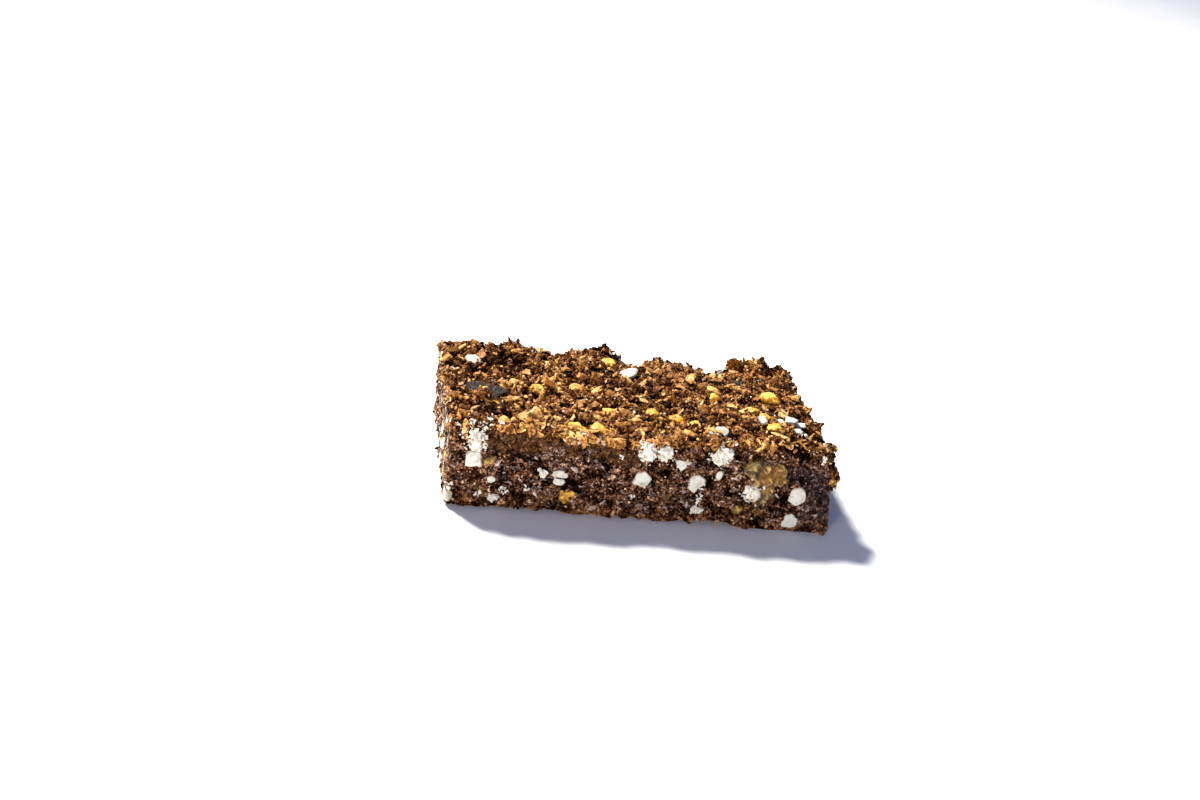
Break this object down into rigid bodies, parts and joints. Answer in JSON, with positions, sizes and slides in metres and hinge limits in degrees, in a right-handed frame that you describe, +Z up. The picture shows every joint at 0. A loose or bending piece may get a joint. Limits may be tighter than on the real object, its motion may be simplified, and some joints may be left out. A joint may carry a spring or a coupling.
{
  "type": "chocolate crispy cake slice",
  "caption": "Rectangular slice of pressed chocolate crumb cake with grains and fruit pieces showing, lying flat on its base.",
  "frame": {"origin": "under the middle of the slice, on the surface that it lies on", "axes": "+X along the slice, -Y out of the long cut side that the picture shows, +Z up"},
  "size_m": [0.1002, 0.0569, 0.0248],
  "materials": {
    "cake": "rough crumb, dull",
    "fruit_flesh": "moist, slightly see-through flesh",
    "date_skin": "satin skin"
  },
  "bodies": {
    "root": {"cake_slice": "cake", "fruit_piece_side": "fruit_flesh", "date_piece_left": "date_skin", "date_piece_right": "date_skin"}
  },
  "joints": []
}
